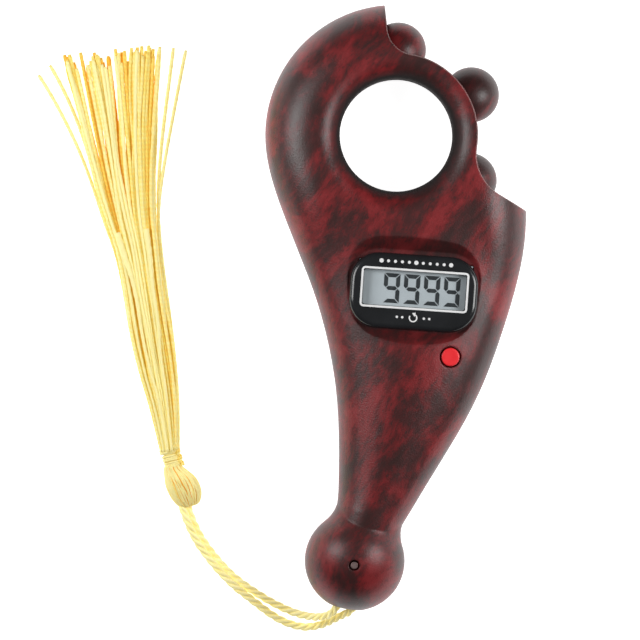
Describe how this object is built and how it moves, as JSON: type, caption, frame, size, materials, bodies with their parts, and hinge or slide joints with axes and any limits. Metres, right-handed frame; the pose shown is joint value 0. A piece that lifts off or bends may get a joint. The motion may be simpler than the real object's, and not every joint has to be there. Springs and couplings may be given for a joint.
{
  "type": "tally counter",
  "caption": "Hand-held digital tally counter with a finger ring, a thumb-turned bead wheel, a small display, a reset button, and a cord with a tassel at its ball end",
  "frame": {"origin": "centre of the finger hole, on the parting plane of the casing", "axes": "X along the display's reading direction, Y from the ball end towards the finger ring, Z out of the display face"},
  "size_m": [0.0949, 0.1232, 0.0189],
  "materials": {
    "casing": "satin, printed with a dark rosewood grain",
    "bezel": "polished black with white print",
    "pane": "clear",
    "lcd": "grey liquid crystal panel with dark digits",
    "strips": "layered conductive rubber",
    "board": "green solder mask",
    "resin": "black resin drop",
    "reed": "tinted glass tube",
    "button": "bright red, glossy",
    "switch": "moulded black",
    "steel": "nickel-plated",
    "magnet": "nickel-plated",
    "cord": "twisted golden-yellow thread",
    "tassel": "silky golden-yellow thread"
  },
  "bodies": {
    "casing": {"front_shell": "casing", "rear_shell": "casing", "battery_cover": "casing", "display_bezel": "bezel", "display_pane": "pane", "lcd_panel": "lcd", "contact_strips": "strips", "circuit_board": "board", "chip_blob": "resin", "reed_switch": "reed", "reset_switch": "switch", "case_screws": "steel", "cover_screw": "steel", "board_screws": "steel", "cord_pin": "steel", "button_cell": "steel", "cell_spring": "steel", "cell_clip": "steel", "cord_loop": "cord", "cord_strand_left": "cord", "cord_strand_right": "cord", "tassel_head": "tassel", "tassel_binding": "tassel", "tassel_skirt": "tassel"},
    "bead_wheel": {"bead_wheel_front": "casing", "bead_wheel_rear": "casing", "wheel_magnets": "magnet"},
    "reset_button": {"reset_button": "button", "switch_plunger": "switch"}
  },
  "joints": [
    {"name": "wheel_spin", "type": "hinge", "parent": "casing", "child": "bead_wheel", "pos_m": [0, 0, 0], "axis": [0, 0, 1], "continuous": true},
    {"name": "reset_press", "type": "slide", "parent": "casing", "child": "reset_button", "axis": [0, 0, -1], "range_m": [0, 0.0004], "stiffness_N_per_m": 400, "springref_m": -0.0003}
  ]
}
